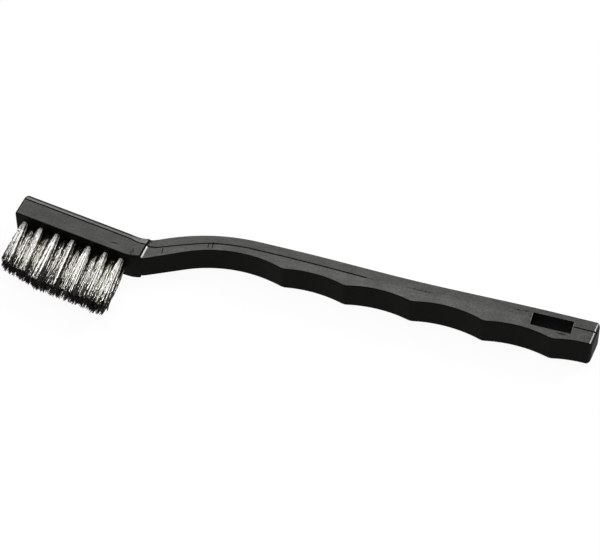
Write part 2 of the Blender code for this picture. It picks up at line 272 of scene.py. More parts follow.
class HandleSettings(bpy.types.PropertyGroup):
    """The moulding's edges and finish."""

    edge_radius: FloatProperty(
        name="Edge radius", description="Rounding of the bristle side", default=0.32 * MM, unit="LENGTH"
    )
    back_edge_radius: FloatProperty(
        name="Back edge radius", description="Rounding of the back's edges", default=0.5 * MM, unit="LENGTH"
    )
    end_radius: FloatProperty(
        name="End radius", description="Rounding of the free end", default=1.3 * MM, unit="LENGTH"
    )
    groove_width: FloatProperty(
        name="Groove width", description="Width of the mould's parting line", default=0.5 * MM, unit="LENGTH"
    )
    groove_depth: FloatProperty(
        name="Groove depth", description="Depth of the line on the head", default=0.35 * MM, unit="LENGTH"
    )
    rim: FloatProperty(
        name="Hole rim", description="Chamfer round the hang hole", default=0.16 * MM, unit="LENGTH"
    )
    colour: FloatVectorProperty(
        name="Plastic", description="Colour of the moulding", default=(0.0038, 0.004, 0.003), subtype="COLOR"
    )
    # Painted sheen: the broad sides are greyer to stand in for the light that they reflect.
    sheen_colour: FloatVectorProperty(
        name="Sides", description="Colour of rubbed sides", default=(0.0222, 0.0238, 0.019), subtype="COLOR"
    )
    # Painted highlight: the colour of the band on the end's edge and of the hang hole's rim.
    highlight_colour: FloatVectorProperty(
        name="Worn edges", description="Colour of worn edges", default=(0.34, 0.34, 0.34), subtype="COLOR"
    )
    grain: FloatProperty(
        name="Grain", description="Size of the fine grain on the sides", default=0.6 * MM, unit="LENGTH"
    )


class TuftSettings(bpy.types.PropertyGroup):
    """The wires of one tuft. Each is doubled over the tuft's anchor, so it has two ends."""

    wires: IntProperty(name="Wires", description="Doubled wires in one tuft", default=50, min=1)
    strands: IntProperty(
        name="Strands", description="Strands that each half of a tuft parts into", default=5, min=1
    )
    points: IntProperty(name="Points", description="Points along one doubled wire", default=69, min=9)
    wire_diameter: FloatProperty(
        name="Wire", description="Diameter of a wire", default=0.23 * MM, unit="LENGTH"
    )
    tip_run: FloatProperty(
        name="Tip run", description="Length along the row of a tuft's tips", default=4.9 * MM, unit="LENGTH"
    )
    hidden_run: FloatProperty(
        name="Hidden tip run",
        description="Length along the row of the tips of the middle and lower rows, which splay further",
        default=5.5 * MM,
        unit="LENGTH",
    )
    tip_width: FloatProperty(
        name="Tip width", description="Width across the row of a tuft's tips", default=3.6 * MM, unit="LENGTH"
    )
    middle_width: FloatProperty(
        name="Middle tip width",
        description="Width across the row of the middle row's tips, which fan out between the outer tufts",
        default=5.2 * MM,
        unit="LENGTH",
    )
    bunching: FloatProperty(
        name="Bunching", description="How much less strands fan out than tufts", default=0.3, subtype="FACTOR"
    )
    crimp_depth: FloatProperty(
        name="Crimp",
        description="How far a wire of the middle row waves to each side",
        default=0.09 * MM,
        unit="LENGTH",
    )
    straightened: FloatProperty(
        name="Straightened",
        description="How much of their crimp and stray the outer rows have lost by wear",
        default=0.4,
        subtype="FACTOR",
    )
    crimp_pitch: FloatProperty(
        name="Crimp pitch", description="Length of one wave", default=3.0 * MM, unit="LENGTH"
    )
    scatter: FloatProperty(
        name="Trim scatter", description="Unevenness of the trimmed ends", default=0.07 * MM, unit="LENGTH"
    )
    stray: FloatProperty(
        name="Stray",
        description="How far a wire of the middle row wanders along it at its tip",
        default=0.8 * MM,
        unit="LENGTH",
    )
    heel_lean: FloatProperty(
        name="Heel lean",
        description="How far the lower row's last tuft leans towards the toe at its tips",
        default=2.1 * MM,
        unit="LENGTH",
    )
    colour: FloatVectorProperty(
        name="Steel", description="Colour of the clean wire", default=(0.63, 0.62, 0.59), subtype="COLOR"
    )
    warm_colour: FloatVectorProperty(
        name="Warm steel", description="Colour of inner wires", default=(0.60, 0.52, 0.30), subtype="COLOR"
    )
    # Painted shade: the colour of wires darkened where shade falls between the rows, at the tips and between
    # wires.
    shade_colour: FloatVectorProperty(
        name="Soil", description="Colour of the soiled wires", default=(0.014, 0.012, 0.009), subtype="COLOR"
    )
    # Painted shade stops at this height over the middle of the head's width.
    unshaded_height: FloatProperty(
        name="Clean height",
        description="Height over the middle of the head's width where the wires are rubbed clean",
        default=1.5 * MM,
        unit="LENGTH",
    )


class StageSettings(bpy.types.PropertyGroup):
    """The studio round the brush."""

    azimuth: FloatProperty(
        name="Azimuth", description="Turn of the camera", default=math.radians(16.9), subtype="ANGLE"
    )
    elevation: FloatProperty(
        name="Elevation", description="Height of the camera", default=math.radians(51.5), subtype="ANGLE"
    )
    distance: FloatProperty(
        name="Distance", description="Camera to the head's upper side", default=0.8482, unit="LENGTH"
    )
    lens: FloatProperty(name="Lens", description="Focal length in millimetres", default=166.26, unit="CAMERA")
    key: FloatProperty(name="Key light", description="Power of the light overhead", default=4.2, unit="POWER")
    rim: FloatProperty(
        name="Rim light", description="Power of the long low light behind", default=5.6, unit="POWER"
    )
    glint: FloatProperty(
        name="Glint light", description="Power of the small light beyond the tail", default=5.5, unit="POWER"
    )
    fill: FloatProperty(name="Fill", description="Strength of the room's soft light", default=0.25)
    background: FloatProperty(
        name="Background", description="Share of plain white in the floor", default=0.95, subtype="FACTOR"
    )


class Value:
    """A socket that carries a number. Python's operators on it add Math nodes."""

    def __init__(self, graph, socket):
        self.graph = graph
        self.socket = socket

    def __add__(self, other):
        return self.graph.maths("ADD", self, other)

    def __radd__(self, other):
        return self.graph.maths("ADD", other, self)

    def __sub__(self, other):
        return self.graph.maths("SUBTRACT", self, other)

    def __rsub__(self, other):
        return self.graph.maths("SUBTRACT", other, self)

    def __mul__(self, other):
        return self.graph.maths("MULTIPLY", self, other)

    def __rmul__(self, other):
        return self.graph.maths("MULTIPLY", other, self)

    def __truediv__(self, other):
        return self.graph.maths("DIVIDE", self, other)

    def __rtruediv__(self, other):
        return self.graph.maths("DIVIDE", other, self)

    def __pow__(self, other):
        return self.graph.maths("POWER", self, other)

    def __abs__(self):
        return self.graph.maths("ABSOLUTE", self)

    def clamped(self):
        """The same number, held between 0 and 1."""
        return self.graph.maths("ADD", self, 0.0, clamp=True)


class Graph:
    """A node tree that is being written, in a material, the world or geometry nodes."""

    def __init__(self, tree):
        self.tree = tree

    def node(self, kind, settings, inputs, output=0):
        """Adds a node. Its settings go first, then its inputs' values or links. Returns one output."""
        node = self.tree.nodes.new(kind)
        for name, setting in settings.items():
            setattr(node, name, setting)
        for name, value in inputs.items():
            if isinstance(value, Value):
                self.tree.links.new(value.socket, node.inputs[name])
            else:
                node.inputs[name].default_value = value
        return Value(self, node.outputs[output]) if len(node.outputs) else None

    def other_output(self, value, name):
        """Another output of the node that a value comes from."""
        return Value(self, value.socket.node.outputs[name])

    def maths(self, operation, *values, clamp=False):
        """A Math node on numbers."""
        settings = {"operation": operation, "use_clamp": clamp}
        return self.node("ShaderNodeMath", settings, dict(enumerate(values)))

    def coordinates(self):
        """Places on the object that is shaded."""
        return self.node("ShaderNodeTexCoord", {}, {}, "Object")

    def axes(self, place):
        """X, Y and Z of a place."""
        x = self.node("ShaderNodeSeparateXYZ", {}, {"Vector": place}, "X")
        return x, self.other_output(x, "Y"), self.other_output(x, "Z")

    def attribute(self, name):
        """A number that is stored on the mesh."""
        return self.node("ShaderNodeAttribute", {"attribute_name": name}, {}, "Fac")

    def stretched(self, place, scale):
        """Places scaled along each axis, so that a pattern on them is longer where its scale is under 1."""
        return self.node("ShaderNodeMapping", {}, {"Vector": place, "Scale": scale})

    def noise(self, place, size, detail=2.0, roughness=0.5):
        """Smooth noise whose features are about so large."""
        inputs = {"Vector": place, "Scale": 1 / size, "Detail": detail, "Roughness": roughness}
        return self.node("ShaderNodeTexNoise", {}, inputs, "Fac")

    def between(self, value, low, high):
        """0 where a value is under low, 1 over high, with soft ends."""
        inputs = {"Value": value, "From Min": low, "From Max": high}
        return self.node("ShaderNodeMapRange", {"interpolation_type": "SMOOTHSTEP"}, inputs)

    def mix_colours(self, share, first, second):
        """A colour between two, by a share from 0 to 1. The node's two colours are its inputs 6 and 7."""
        inputs = {"Factor": share, 6: opaque(first), 7: opaque(second)}
        return self.node("ShaderNodeMix", {"data_type": "RGBA"}, inputs, 2)

    def toned(self, colour, tone):
        """A colour made lighter or darker."""
        return self.node("ShaderNodeVectorMath", {"operation": "SCALE"}, {0: colour, "Scale": tone})

    def seen(self):
        """1 for the rays that show a surface to the eye, straight or mirrored, and 0 for those that light."""
        rays = self.node("ShaderNodeLightPath", {}, {}, "Is Camera Ray")
        glossy = self.other_output(rays, "Is Glossy Ray")
        through = self.other_output(rays, "Is Transmission Ray")
        return (rays + glossy + through).clamped()


def opaque(colour):
    """A colour with its alpha, unless it comes from a node."""
    return colour if isinstance(colour, Value) else (*colour, 1)


def varied(noise, spread):
    """A factor that follows a noise from 0 to 1 by a spread to both sides of 1."""
    return (1 - spread) + 2 * spread * noise


def smooth_min(a, b, blend):
    """The smaller of two heights, with the corner where they cross rounded off."""
    overlap = max(blend - abs(a - b), 0) / blend
    return min(a, b) - overlap * overlap * blend / 4


def smooth_max(a, b, blend):
    """The larger of two heights, rounded off in the same way."""
    return -smooth_min(-a, -b, blend)


def smooth_step(start, end, x):
    """0 up to the start and 1 from the end on, with a soft change between them."""
    share = min(max((x - start) / (end - start), 0), 1)
    return share * share * (3 - 2 * share)


def head_back(x):
    """The tilted plane of the head's back, without its crown."""
    return -HEAD_DROP + math.tan(HEAD_TILT) * (STEP_X - x)

def head_face(x):
    """The plane that the bristles stand in."""
    return head_back(x) - HEAD_DEPTH / math.cos(HEAD_TILT)


def crowned(x):
    """1 along the head, falling to 0 at its heel: the share of its crown and of its soft back edges."""
    return 1 - smooth_step(STEP_X - STRAIGHT_HEAD, STEP_X, x)


def back_height(x):
    """Y of the back: the head's crowned back, the arc of the neck, then the slightly hollow grip."""
    if x < TOP_X:
        across = min(TOP_X - x, NECK_BACK_RADIUS)
        neck = math.sqrt(NECK_BACK_RADIUS**2 - across**2) - NECK_BACK_RADIUS
        return smooth_max(head_back(x), neck, NAPE_BLEND) + HEAD_CROWN * crowned(x)
    fall = BACK_FALL * (x - TOP_X) / (END_X - TOP_X)
    hollow_start = TOP_X + TOP_TO_HOLLOW
    share = min(max((x - hollow_start) / (CREST_XS[-1] - hollow_start), 0), 1)
    return -fall - BACK_HOLLOW * math.sin(math.pi * share) ** 2


def neck_drop(x):
    """How far the neck's bristle side is below the top of the back: a straight climb, then an arc."""
    across = abs(x - THINNEST_X)
    arc_run = NECK_FACE_RADIUS * math.sin(NECK_CLIMB)
    if x < THINNEST_X - arc_run:
        arc_drop = NECK_FACE_RADIUS * (1 - math.cos(NECK_CLIMB))
        return NECK_THICKNESS + arc_drop + math.tan(NECK_CLIMB) * (across - arc_run)
    across = min(across, NECK_FACE_RADIUS)
    return NECK_THICKNESS + NECK_FACE_RADIUS - math.sqrt(NECK_FACE_RADIUS**2 - across**2)


def scallop_arc(start, end):
    """A function of X for the drop along an arc through two crests, hollow side outwards."""
    (x0, drop0), (x1, drop1) = start, end
    chord = math.hypot(x1 - x0, drop1 - drop0)
    rise = math.sqrt(FINGER_RADIUS**2 - chord**2 / 4) / chord
    centre_x = (x0 + x1) / 2 - rise * (drop1 - drop0)
    centre_drop = (drop0 + drop1) / 2 + rise * (x1 - x0)

    def drop(x):
        across = min(abs(x - centre_x), FINGER_RADIUS)
        return centre_drop - math.sqrt(FINGER_RADIUS**2 - across**2)

    return drop


def scallop_arcs():
    """The finger scallops, and the part of one that makes the tail."""
    crests = list(zip(CREST_XS, (drop + CREST_BLEND / 4 for drop in CREST_DROPS)))
    beyond = (CREST_XS[-1] + TAIL_SCALLOP, crests[-1][1])
    ends = crests + [beyond]
    return [scallop_arc(start, end) for start, end in zip(ends, ends[1:])]


SCALLOP_ARCS = scallop_arcs()


def face_height(x):
    """Y of the bristle side: the head's face, the climb of the neck, then the scalloped grip."""
    drop = neck_drop(x)
    for arc in SCALLOP_ARCS:
        drop = smooth_min(drop, arc(x), CREST_BLEND)
    return smooth_max(head_face(x), -drop, HEEL_BLEND)


def head_share(x):
    """1 on the head and 0 on the neck, with a steep wall between them that ends in a short ramp."""
    wall_start = STEP_X - STEP_WALL_LEAD
    wall_end = wall_start + STEP_WALL_LENGTH
    wall = min(max((x - wall_start) / STEP_WALL_LENGTH, 0), 1)
    ramp = min(max((x - wall_end) / (STEP_X + STEP_LENGTH - wall_end), 0), 1)
    return 1 - STEP_WALL_SHARE * wall - (1 - STEP_WALL_SHARE) * ramp


def half_width(x):
    """Half the width at the parting line."""
    share = min(max((x - STEP_X) / WIDENING_RUN, 0), 1)
    grip = (NECK_WIDTH + (GRIP_WIDTH - NECK_WIDTH) * share) / 2
    return grip + (HEAD_WIDTH / 2 - grip) * head_share(x)


def parting_depth(x):
    """How far the mould's parting line lies under the back: high on the head, mid way on the grip."""
    along = max(x - THINNEST_X, 0) / (END_X - THINNEST_X)
    grip = PARTING_DEPTH + (PARTING_DEPTH_AT_END - PARTING_DEPTH) * along
    share = smooth_step(STEP_X - STRAIGHT_HEAD, STEP_X + STRAIGHT_HEAD, x)
    sag = PARTING_SAG * (smooth_step(*SAG_STARTS, x) - smooth_step(*SAG_ENDS, x))
    return HEAD_STRIP + (grip - HEAD_STRIP) * share + sag + HEAD_CROWN * crowned(x)


def groove_strength(x):
    """How deep the parting line is cut, as a share of its depth on the head."""
    return sum((change * smooth_step(start, end, x) for change, start, end in GROOVE_CHANGES), 1)


def face_edge_radius(x, hard):
    """The radius of the two edges of the bristle side, which are softer at the heel of the head."""
    if x > STEP_X + STEP_LENGTH:
        return hard
    return hard + (HEEL_EDGE_RADIUS - hard) * smooth_step(STEP_X - STRAIGHT_HEAD, STEP_X, x)


def fallen_back(radius, distance):
    """How far a rounded corner of some radius has fallen back, so far from the end."""
    within = max(radius - distance, 0)
    return radius - math.sqrt(radius**2 - within**2)


def corner_stations(radius):
    """Distances from the end of the sections that round off a corner."""
    return [radius * (1 - math.cos(math.pi / 2 * step / CORNER_STEPS)) for step in range(CORNER_STEPS + 1)]


def spaced(start, end, pitch):
    """X of sections from start to just before end, about a pitch apart."""
    steps = round((end - start) / pitch)
    return [start + (end - start) * i / steps for i in range(steps)]


def stations(settings):
    """X of each section, toe to end."""
    detail_start = STEP_X - STEP_WALL_LEAD - STEP_STATION
    detail_end = STEP_X + STEP_DETAIL
    places = sorted({*corner_stations(TOE_EDGE_RADIUS), *corner_stations(TOE_CORNER_RADIUS)})[:-1]
    places += spaced(TOE_CORNER_RADIUS, detail_start, HEAD_STATION)
    places += spaced(detail_start, detail_end, STEP_STATION)
    places += spaced(detail_end, THINNEST_X, NECK_STATION)
    places += spaced(THINNEST_X, END_X - settings.end_radius, GRIP_STATION)
    places += [END_X - away for away in reversed(corner_stations(settings.end_radius))]
    return places


def edge_arc(depth, radius, tilt, widest):
    """Points on the rounded edge at the end of a side's depth, as (distance from the parting line, z).

    The side leans inwards by its tilt from the parting line, its widest place. The arc starts at the side.
    """
    radius = min(radius, EDGE_SHARE_OF_WALL * depth)
    straight = depth - radius
    centre = widest - (radius + straight * math.sin(tilt)) / math.cos(tilt)
    angles = [(math.pi / 2 - tilt) * (1 - step / CORNER_STEPS) for step in range(CORNER_STEPS + 1)]
    return [(straight + radius * math.cos(angle), centre + radius * math.sin(angle)) for angle in angles]


def section(x, settings):
    """The ring of points where a leaning plane cuts the handle, at x on its bristle side."""
    lean = math.tan(LEAN)
    face = face_height(x)
    back_x = x + lean * (back_height(x) - face)
    back = back_height(min(back_x, END_X))
    parting = back - parting_depth(x)
    edge = settings.edge_radius
    end_inset = fallen_back(settings.end_radius, END_X - x)
    widest = half_width(x) - fallen_back(TOE_EDGE_RADIUS, x) - end_inset
    back_depth = back - parting - fallen_back(TOE_CORNER_RADIUS, x) - end_inset
    face_depth = parting - face - fallen_back(edge, x) - end_inset
    back_radius = settings.back_edge_radius
    back_radius += (HEAD_BACK_EDGE_RADIUS - back_radius) * crowned(x)
    back_tilt = DRAFT + (HEAD_STRIP_BEVEL - DRAFT) * head_share(x)
    face_tilt = DRAFT * (1 - head_share(x))
    half_groove = settings.groove_width / 2
    back_arc = edge_arc(back_depth, back_radius, back_tilt, widest)
    face_arc = edge_arc(face_depth, face_edge_radius(x, edge), face_tilt, widest)
    half = [(parting + away, z) for away, z in reversed(back_arc)]
    half.append((parting + half_groove, widest - half_groove * math.tan(back_tilt)))
    half.append((parting, widest - settings.groove_depth * groove_strength(x)))
    half.append((parting - half_groove, widest - half_groove * math.tan(face_tilt)))
    half += [(parting - away, z) for away, z in face_arc]
    ring = half + [(y, -z) for y, z in reversed(half)]
    return [Vector((x + lean * (y - face), y, z)) for y, z in ring]


def handle_bmesh(settings):
    """The moulding without its holes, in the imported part's frame, and its shift from its own frame."""
    bm = bmesh.new()
    rings = [[bm.verts.new(point) for point in section(x, settings)] for x in stations(settings)]
    for ring, following in zip(rings, rings[1:]):
        for i in range(len(ring)):
            j = (i + 1) % len(ring)
            bm.faces.new((ring[i], ring[j], following[j], following[i]))
    bm.faces.new(rings[0])
    bm.faces.new(rings[-1])
    shift = handle_shift([vertex.co for vertex in bm.verts])
    bmesh.ops.translate(bm, vec=shift, verts=bm.verts)
    return bm, shift


def handle_shift(points):
    """The move from the handle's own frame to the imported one, by the middles of their boxes."""
    low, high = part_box("handle")
    own_low = Vector(min(point[axis] for point in points) for axis in range(3))
    own_high = Vector(max(point[axis] for point in points) for axis in range(3))
    return (low + high) / 2 - (own_low + own_high) / 2


def add_prism(bm, base, top):
    """A closed body between two rings of as many points."""
    rings = [[bm.verts.new(point) for point in ring] for ring in (base, top)]
    count = len(base)
    for i in range(count):
        j = (i + 1) % count
        bm.faces.new((rings[0][i], rings[0][j], rings[1][j], rings[1][i]))
    bm.faces.new(rings[0])
    bm.faces.new(reversed(rings[1]))


def rectangle(low, high, z, grown):
    """The corners of a rectangle between two corners, made larger by so much on each side."""
    low_x, low_y = low.x - grown, low.y - grown
    high_x, high_y = high.x + grown, high.y + grown
    return [(low_x, low_y, z), (high_x, low_y, z), (high_x, high_y, z), (low_x, high_y, z)]


def tuft_names():
    """The CAD nodes of the tufts, each with the node of its anchor."""
    names = sorted(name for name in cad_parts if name.startswith("tuft_"))
    return [(name, name.replace("tuft_", "anchor_")) for name in names]


def tuft_holes_bmesh(shift):
    """The blind holes that the tufts are set in, each about its anchor's middle."""
    bm = bmesh.new()
    radius = HOLE_DIAMETER / 2
    angles = [2 * math.pi * i / TUFT_HOLE_SIDES for i in range(TUFT_HOLE_SIDES)]
    for _, anchor in tuft_names():
        x, _, z = box_middle(anchor)
        mouth = head_face(x - shift.x) + shift.y
        rings = []
        for y in (mouth - CUT_BEYOND, mouth + HOLE_DEPTH):
            rings.append([(x + radius * math.cos(a), y, z + radius * math.sin(a)) for a in angles])
        add_prism(bm, *rings)
    return bm


def hang_hole_box(settings, shift):
    """The two far corners of the hang hole with its chamfer, seen from above."""
    high = Vector((END_X - HANG_HOLE_TO_END, -HANG_HOLE_BELOW_TOP, 0)) + shift
    low = high - Vector((HANG_HOLE_LENGTH, HANG_HOLE_WIDTH, 0))
    rim = Vector((settings.rim, settings.rim, 0))
    return low - rim, high + rim


def hang_hole_bmesh(settings, shift):
    """Cutters for the rectangle through the tail and the chamfer of its rim on both sides."""
    bm = bmesh.new()
    low, high = hang_hole_box(settings, shift)
    beyond = GRIP_WIDTH / 2 + CUT_BEYOND
    inner = GRIP_WIDTH / 2 - settings.rim
    straight = -settings.rim
    flared = straight + beyond - inner
    ends = (shift.z - beyond, shift.z + beyond)
    add_prism(bm, *(rectangle(low, high, z, straight) for z in ends))
    for side in (-1, 1):
        inside = rectangle(low, high, shift.z + side * inner, straight)
        outside = rectangle(low, high, shift.z + side * beyond, flared)
        add_prism(bm, inside, outside)
    return bm


def insert_marks_bmesh(shift):
    """V-shaped cutters for the hairlines on both sides of the neck."""
    bm = bmesh.new()
    spread = INSERT_MARK_WIDTH / 2 * (INSERT_CUTTER_RISE + INSERT_MARK_DEPTH) / INSERT_MARK_DEPTH
    for mark in INSERT_MARKS:
        for side in (-1, 1):
            rings = []
            for x, y in mark:
                parting = back_height(x) - parting_depth(x)
                surface = half_width(x) - abs(y - parting) * math.tan(DRAFT)
                deep = side * (surface - INSERT_MARK_DEPTH)
                out = side * (surface + INSERT_CUTTER_RISE)
                ring = [(x, y, deep), (x + spread, y, out), (x - spread, y, out)]
                rings.append([Vector(point) + shift for point in ring])
            add_prism(bm, *rings)
    return bm


def box_middle(node):
    """The middle of a CAD node's box."""
    low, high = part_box(node)
    return (low + high) / 2


def object_from(bm, name):
    """A new object in the scene from a bmesh, with its faces pointing out."""
    bmesh.ops.recalc_face_normals(bm, faces=bm.faces)
    mesh = bpy.data.meshes.new(name)
    bm.to_mesh(mesh)
    bm.free()
    obj = bpy.data.objects.new(name, mesh)
    bpy.context.scene.collection.objects.link(obj)
    return obj


def apply_modifiers(obj):
    """Turns what an object's modifiers make into its own plain mesh."""
    bpy.context.view_layer.update()
    evaluated = obj.evaluated_get(bpy.context.evaluated_depsgraph_get())
    mesh = bpy.data.meshes.new_from_object(evaluated)
    old = obj.data
    obj.modifiers.clear()
    obj.data = mesh
    bpy.data.meshes.remove(old)
    mesh.name = obj.name


def cut(obj, cutters):
    """Cuts the cutters out of an object, and removes them."""
    for cutter in cutters:
        boolean = obj.modifiers.new(cutter.name, "BOOLEAN")
        boolean.operation = "DIFFERENCE"
        boolean.solver = "EXACT"
        boolean.use_self = True
        boolean.object = cutter
    apply_modifiers(obj)
    for cutter in cutters:
        bpy.data.objects.remove(cutter)


def smooth_shading(obj):
    """Smooth faces with sharp edges where they turn enough, and flat faces kept flat."""
    obj.data.shade_smooth()
    obj.data.set_sharp_from_angle(angle=SHARP_ANGLE)
    weighted = obj.modifiers.new("weighted", "WEIGHTED_NORMAL")
    weighted.keep_sharp = True
    weighted.weight = LARGE_FACE_WEIGHT
    apply_modifiers(obj)


def sheen_and_highlight(normal, on_head):
    """How much painted sheen or painted highlight the plastic gets where it faces so: its broad sides get a
    painted sheen for the light that they reflect, and the edges that point to the free end a painted
    highlight.

    The bevel of the back gets the painted sheen on the head only.
    """
    across = abs(normal.z)
    side = smooth_step(*SIDE_ACROSS, across) * max(on_head, smooth_step(*SIDE_OFF_BACK, normal.y))
    towards_end = smooth_step(*HIGHLIGHT_TO_END, normal.x) * smooth_step(*HIGHLIGHT_ACROSS, across)
    facing = smooth_step(*HIGHLIGHT_OFF_END, normal.x) * smooth_step(*HIGHLIGHT_OFF_BACK, normal.y)
    # Painted highlight on the lower half of the end's edge.
    edge_highlight = HIGHLIGHT_STRENGTH * towards_end * facing * smooth_step(*HIGHLIGHT_LEVEL, abs(normal.y))
    return max(side, edge_highlight)


def mark_sides(obj, hole, shift):
    """Stores each corner's painted sheen and painted highlight for the material, the hang hole's chamfer
    included.
    """
    mesh = obj.data
    side = mesh.attributes.new("side", "FLOAT", "CORNER")
    normals = mesh.corner_normals
    places = [mesh.vertices[loop.vertex_index].co.x - shift.x for loop in mesh.loops]
    on_head = [1 - smooth_step(STEP_X + NECK_EDGES_END / 2, STEP_X + NECK_EDGES_END, x) for x in places]
    values = [sheen_and_highlight(normals[i].vector, on_head[i]) for i in range(len(mesh.loops))]
    low, high = hole
    # Painted highlight on the hang hole's chamfer.
    for face in mesh.polygons:
        within = low.x < face.center.x < high.x and low.y < face.center.y < high.y
        if within and CHAMFER_SLOPES[0] < abs(face.normal.z) < CHAMFER_SLOPES[1]:
            for i in face.loop_indices:
                values[i] = RIM_HIGHLIGHT
    side.data.foreach_set("value", values)


def new_material(name):
    """An empty material, and the graph of its nodes."""
    material = bpy.data.materials.new(name)
    material.use_nodes = True
    material.node_tree.nodes.clear()
    return material, Graph(material.node_tree)


def finish_material(graph, shader):
    """Shows a shader on the material's surface."""
    graph.node("ShaderNodeOutputMaterial", {}, {"Surface": shader})


def principled(graph, inputs):
    """Shows a Principled shader with these inputs on the material's surface."""
    finish_material(graph, graph.node("ShaderNodeBsdfPrincipled", {}, inputs))


def stains(graph, x, y, shift, ragged):
    """How stained the plastic is: 1 in the middle of a stain, 0 outside them all, with ragged edges."""
    total = 0.0
    for (middle_x, middle_y), (half_length, half_height) in STAINS:
        along = (x - (middle_x + shift.x)) / half_length
        across = (y - (middle_y + shift.y)) / half_height
        reach = along * along + across * across
        total = total + (1 - graph.between(reach + 2 * (ragged - 0.5), *STAIN_EDGE))
    return total.clamped()


def black_plastic(settings, shift):
    """Moulded plastic, finely grained: near black and satin on its faces, greyer and matt on its broad sides
    as a painted sheen, with painted highlights on the end's edge and the hole's rim, and painted shade towards
    the tail.
    """
    material, graph = new_material("black_plastic")
    place = graph.coordinates()
    x, y, _ = graph.axes(place)
    side = graph.attribute("side")
    grain = graph.between(graph.noise(place, settings.grain, detail=3.0, roughness=0.65), 0.3, 0.7)
    blotch = graph.between(graph.noise(place, BLOTCH_GRAINS * settings.grain), 0.3, 0.7)
    lengthways = graph.stretched(place, STREAK_STRETCH)
    streaks = graph.noise(lengthways, STREAK_GRAINS * settings.grain, detail=4.0, roughness=0.7)
    scuffs = graph.between(streaks, *SCUFF_LEVELS) * side
    # Painted shade: the plastic darkens towards the free end.
    tail = graph.between(x, CAD_BOX[1].x - SHADED_TAIL, CAD_BOX[1].x)
    stained = STAIN_DARKNESS * stains(graph, x, y, shift, grain)
    tone = varied(grain, GRAIN_TONE) * varied(blotch, BLOTCH_TONE) * varied(streaks, STREAK_TONE)
    tone = tone * (1 - stained) * (1 - TAIL_SHADE * tail)
    # Painted sheen: the broad sides take the greyer colour.
    sides = graph.mix_colours(side, settings.colour, settings.sheen_colour)
    lighter = [SCUFF_LIGHTNESS * level for level in settings.sheen_colour]
    scuffed = graph.mix_colours(SCUFF_SHARE * scuffs, sides, lighter)
    # Painted highlight: whitened bands on the end's edge and the hole's rim.
    highlighted = graph.mix_colours(graph.between(side, *HIGHLIGHT_LEVELS), scuffed, settings.highlight_colour)
    relief = {"Strength": 0.35, "Distance": 0.02 * MM, "Height": grain + 0.6 * streaks}
    principled(
        graph,
        {
            "Base Color": graph.toned(highlighted, tone),
            "Roughness": 0.45 + 0.15 * grain,
            "Specular IOR Level": 0.03,
            "Coat Weight": 0.55 * side * tone,
            "Coat Roughness": 0.28,
            "Coat IOR": 1.5,
            "Normal": graph.node("ShaderNodeBump", {}, relief),
        },
    )
    return material


def stainless_wire(settings):
    """Drawn wire, brighter on the head's two sides and warmer between them. Painted shade darkens the wires
    between the outer rows, at the middle row's roots, at the tips and in dark streaks; painted light brightens
    the outer roots.
    """
    material, graph = new_material("stainless_wire")
    place = graph.coordinates()
    _, _, z = graph.axes(place)
    tint = graph.attribute("tint")
    along = graph.attribute("along")
    specks = graph.noise(graph.stretched(place, SPECK_STRETCH), SPECK_SIZE, roughness=0.6)
    height = abs(z - HEAD_WIDTH / 2) - UNSHADED_RISE * settings.tip_width * along
    inner = 1 - graph.between(height, settings.unshaded_height - UNSHADED_FADE, settings.unshaded_height)
    root = 1 - graph.between(along, *SHADED_ROOT)
    tip = graph.between(along, *SHADED_TIP)
    near_root = 1 - graph.between(along, *BRIGHT_ROOT)
    # The share of wires painted dark as shade at a place: those whose tint is lower.
    shade_share = 0.37 + 0.32 * inner + 0.6 * inner * root + (0.38 + 0.15 * inner) * tip + 1.5 * (specks - 0.5)
    shaded = graph.between(shade_share.clamped() - tint, -SHADE_EDGE, SHADE_EDGE)
    colour = graph.mix_colours(WARM_SHARE * inner, settings.colour, settings.warm_colour)
    # Painted light: the outer wires are lighter near their roots, where the head shades them.
    tone = (0.35 + 0.95 * tint) * (1 + 0.8 * near_root * (1 - inner))
    toned = graph.toned(colour, graph.maths("MINIMUM", tone, LIGHTEST))
    with_shade = graph.mix_colours(shaded, toned, settings.shade_colour)
    metallic = 0.92 - 0.7 * near_root
    principled(graph, {"Base Color": with_shade, "Roughness": 0.26 + 0.2 * specks, "Metallic": metallic})
    return material


def anchor_steel():
    """Plain flat wire, dulled where it was cut and pressed in."""
    material, graph = new_material("anchor_steel")
    specks = graph.noise(graph.coordinates(), ANCHOR_SPECK_SIZE, detail=3.0)
    colour = graph.mix_colours(specks, *ANCHOR_STEEL)
    principled(graph, {"Base Color": colour, "Roughness": 0.3 + 0.25 * specks, "Metallic": 1.0})
    return material


def seamless_floor(background):
    """White floor that shows partly as plain white to the eye and in reflections, and keeps the shadows."""
    material, graph = new_material("floor")
    lit = graph.node("ShaderNodeBsdfDiffuse", {}, {"Color": (0.8, 0.8, 0.8, 1)})
    white = graph.node("ShaderNodeEmission", {}, {"Color": (1, 1, 1, 1), "Strength": 1.0})
    shader = graph.node("ShaderNodeMixShader", {}, {0: graph.seen() * background, 1: lit, 2: white})
    finish_material(graph, shader)
    return material


# The inputs of a tuft's tree, by the kind of their sockets.
TUFT_INPUTS = {
    "NodeSocketVector": ("Mouth",),
    "NodeSocketInt": ("Wires", "Strands", "Points", "Seed"),
    "NodeSocketFloat": (
        "Wire Radius", "Root Radius", "Tip Run", "Tip Width", "Bunching", "Fold Depth", "Length", "Slant",
        "Trim Scatter", "Stray", "Lean", "Crimp Depth", "Crimp Pitch",
    ),
    "NodeSocketMaterial": ("Material",),
}

